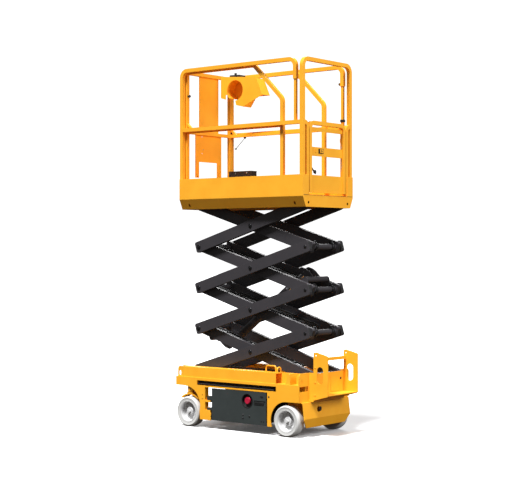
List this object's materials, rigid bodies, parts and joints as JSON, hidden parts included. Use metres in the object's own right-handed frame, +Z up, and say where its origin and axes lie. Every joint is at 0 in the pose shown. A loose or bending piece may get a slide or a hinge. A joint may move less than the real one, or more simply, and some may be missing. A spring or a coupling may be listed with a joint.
{
  "type": "self-propelled scissor lift",
  "caption": "Electric scissor lift: wheeled base with swing-out trays, crossed arm stack with lift cylinder, guarded platform with gate and roll-out deck.",
  "frame": {"origin": "centre of the bounding box on the ground", "axes": "+X to the entry end with the step, +Y to the far side, +Z up"},
  "size_m": [1.7816, 0.81, 3.6022],
  "materials": {
    "frame_yellow": "semi-gloss amber yellow enamel",
    "arm_black": "satin charcoal enamel",
    "dark_grey": "satin dark grey enamel",
    "tyre_pale": "non-marking pale grey solid rubber",
    "rim_pale": "silver grey enamel",
    "bare_steel": "turned steel",
    "rod_chrome": "hard chrome",
    "switch_red": "moulded red plastic",
    "black_plastic": "black moulded plastic"
  },
  "bodies": {
    "base": {"near_side_frame": "frame_yellow", "far_side_frame": "frame_yellow", "well_frame": "frame_yellow", "rear_cover": "frame_yellow", "entry_step": "frame_yellow", "base_tracks": "dark_grey", "base_pin": "bare_steel", "lashing_loops": "frame_yellow", "power_block": "dark_grey", "rear_axles": "bare_steel"},
    "tray_near": {"near_tray": "dark_grey", "stop_switch": "switch_red"},
    "tray_far": {"far_tray": "dark_grey"},
    "steer_near": {"near_knuckle": "frame_yellow"},
    "steer_far": {"far_knuckle": "frame_yellow"},
    "wheel_nf": {"near_front_tyre": "tyre_pale", "near_front_rim": "rim_pale"},
    "wheel_ff": {"far_front_tyre": "tyre_pale", "far_front_rim": "rim_pale"},
    "wheel_nr": {"near_rear_tyre": "tyre_pale", "near_rear_rim": "rim_pale"},
    "wheel_fr": {"far_rear_tyre": "tyre_pale", "far_rear_rim": "rim_pale"},
    "barrel": {"lift_barrel": "arm_black"},
    "rod": {"lift_rod": "rod_chrome"},
    "slider_low": {"base_slider": "dark_grey"},
    "slider_top": {"deck_slider": "dark_grey"},
    "platform": {"deck_frame": "frame_yellow", "deck_tracks": "frame_yellow", "toe_boards": "frame_yellow", "side_rails": "frame_yellow", "end_rail": "frame_yellow"},
    "gate": {"gate": "frame_yellow", "gate_latch": "black_plastic"},
    "roll_out": {"ext_deck": "frame_yellow", "ext_rails": "frame_yellow", "front_panel": "frame_yellow", "control_hood": "frame_yellow", "control_box": "black_plastic", "outlet_box": "black_plastic"},
    "outer_1": {"outer_arms_1": "arm_black"},
    "inner_1": {"inner_arms_1": "arm_black"},
    "outer_2": {"outer_arms_2": "arm_black"},
    "inner_2": {"inner_arms_2": "arm_black"},
    "outer_3": {"outer_arms_3": "arm_black"},
    "inner_3": {"inner_arms_3": "arm_black"},
    "outer_4": {"outer_arms_4": "arm_black"},
    "inner_4": {"inner_arms_4": "arm_black"}
  },
  "joints": [
    {"name": "lift", "type": "hinge", "parent": "base", "child": "inner_1", "pos_m": [0.65083, 0, 0.57], "axis": [0, 1, 0], "range_deg": [-12, 43]},
    {"name": "cross_1", "type": "hinge", "parent": "inner_1", "child": "outer_1", "pos_m": [-0.0205, 0, 0.77524], "axis": [0, 1, 0], "range_deg": [-87, 25]},
    {"name": "link_2", "type": "hinge", "parent": "outer_1", "child": "inner_2", "pos_m": [0.65083, 0, 0.98049], "axis": [0, 1, 0], "range_deg": [-25, 87]},
    {"name": "cross_2", "type": "hinge", "parent": "inner_2", "child": "outer_2", "pos_m": [-0.0205, 0, 1.18573], "axis": [0, 1, 0], "range_deg": [-87, 25]},
    {"name": "link_3", "type": "hinge", "parent": "outer_2", "child": "inner_3", "pos_m": [0.65083, 0, 1.39098], "axis": [0, 1, 0], "range_deg": [-25, 87]},
    {"name": "cross_3", "type": "hinge", "parent": "inner_3", "child": "outer_3", "pos_m": [-0.0205, 0, 1.59623], "axis": [0, 1, 0], "range_deg": [-87, 25]},
    {"name": "link_4", "type": "hinge", "parent": "outer_3", "child": "inner_4", "pos_m": [0.65083, 0, 1.80147], "axis": [0, 1, 0], "range_deg": [-25, 87]},
    {"name": "cross_4", "type": "hinge", "parent": "inner_4", "child": "outer_4", "pos_m": [-0.0205, 0, 2.00671], "axis": [0, 1, 0], "range_deg": [-87, 25]},
    {"name": "deck_level", "type": "hinge", "parent": "outer_4", "child": "platform", "pos_m": [0.65083, 0, 2.21196], "axis": [0, 1, 0], "range_deg": [-13, 44]},
    {"name": "slider_low", "type": "hinge", "parent": "outer_1", "child": "slider_low", "pos_m": [-0.69183, 0, 0.57], "axis": [0, 1, 0], "range_deg": [-13, 44]},
    {"name": "slider_top", "type": "hinge", "parent": "inner_4", "child": "slider_top", "pos_m": [-0.69183, 0, 2.21196], "axis": [0, 1, 0], "range_deg": [-44, 13]},
    {"name": "barrel", "type": "hinge", "parent": "inner_1", "child": "barrel", "pos_m": [-0.49096, 0, 0.8166], "axis": [0, 1, 0], "range_deg": [-80.7, 24]},
    {"name": "rod", "type": "slide", "parent": "barrel", "child": "rod", "axis": [0.7867, 0, 0.6173], "range_m": [-0.194, 0.67]},
    {"name": "steer_near", "type": "hinge", "parent": "base", "child": "steer_near", "pos_m": [-0.72983, -0.355, 0.15], "axis": [0, 0, 1], "range_deg": [-45, 45]},
    {"name": "steer_far", "type": "hinge", "parent": "base", "child": "steer_far", "pos_m": [-0.72983, 0.355, 0.15], "axis": [0, 0, 1], "range_deg": [-46, 46]},
    {"name": "wheel_nf", "type": "hinge", "parent": "steer_near", "child": "wheel_nf", "pos_m": [-0.72983, -0.355, 0.15], "axis": [0, 1, 0], "continuous": true},
    {"name": "wheel_ff", "type": "hinge", "parent": "steer_far", "child": "wheel_ff", "pos_m": [-0.72983, 0.355, 0.15], "axis": [0, 1, 0], "continuous": true},
    {"name": "wheel_nr", "type": "hinge", "parent": "base", "child": "wheel_nr", "pos_m": [0.51483, -0.355, 0.15], "axis": [0, 1, 0], "continuous": true},
    {"name": "wheel_fr", "type": "hinge", "parent": "base", "child": "wheel_fr", "pos_m": [0.51483, 0.355, 0.15], "axis": [0, 1, 0], "continuous": true},
    {"name": "tray_near", "type": "hinge", "parent": "base", "child": "tray_near", "pos_m": [-0.46383, -0.383, 0.15], "axis": [0, 0, -1], "range_deg": [0, 85]},
    {"name": "tray_far", "type": "hinge", "parent": "base", "child": "tray_far", "pos_m": [-0.46383, 0.383, 0.15], "axis": [0, 0, 1], "range_deg": [0, 85]},
    {"name": "gate", "type": "hinge", "parent": "platform", "child": "gate", "pos_m": [0.66663, 0.296, 2.51196], "axis": [0, 0, -1], "range_deg": [0, 88]},
    {"name": "roll_out", "type": "slide", "parent": "platform", "child": "roll_out", "axis": [-1, 0, 0], "range_m": [0, 0.9]}
  ],
  "couplings": [
    {"joint": "cross_1", "follows": "lift", "ratio": -2},
    {"joint": "link_2", "follows": "lift", "ratio": 2},
    {"joint": "cross_2", "follows": "lift", "ratio": -2},
    {"joint": "link_3", "follows": "lift", "ratio": 2},
    {"joint": "cross_3", "follows": "lift", "ratio": -2},
    {"joint": "link_4", "follows": "lift", "ratio": 2},
    {"joint": "cross_4", "follows": "lift", "ratio": -2},
    {"joint": "deck_level", "follows": "lift", "ratio": 1},
    {"joint": "slider_low", "follows": "lift", "ratio": 1},
    {"joint": "slider_top", "follows": "lift", "ratio": -1},
    {"joint": "barrel", "follows": "lift", "ratio": -1.83},
    {"joint": "rod", "follows": "lift", "m_per_rad": 0.88},
    {"joint": "steer_far", "follows": "steer_near", "ratio": 1}
  ]
}
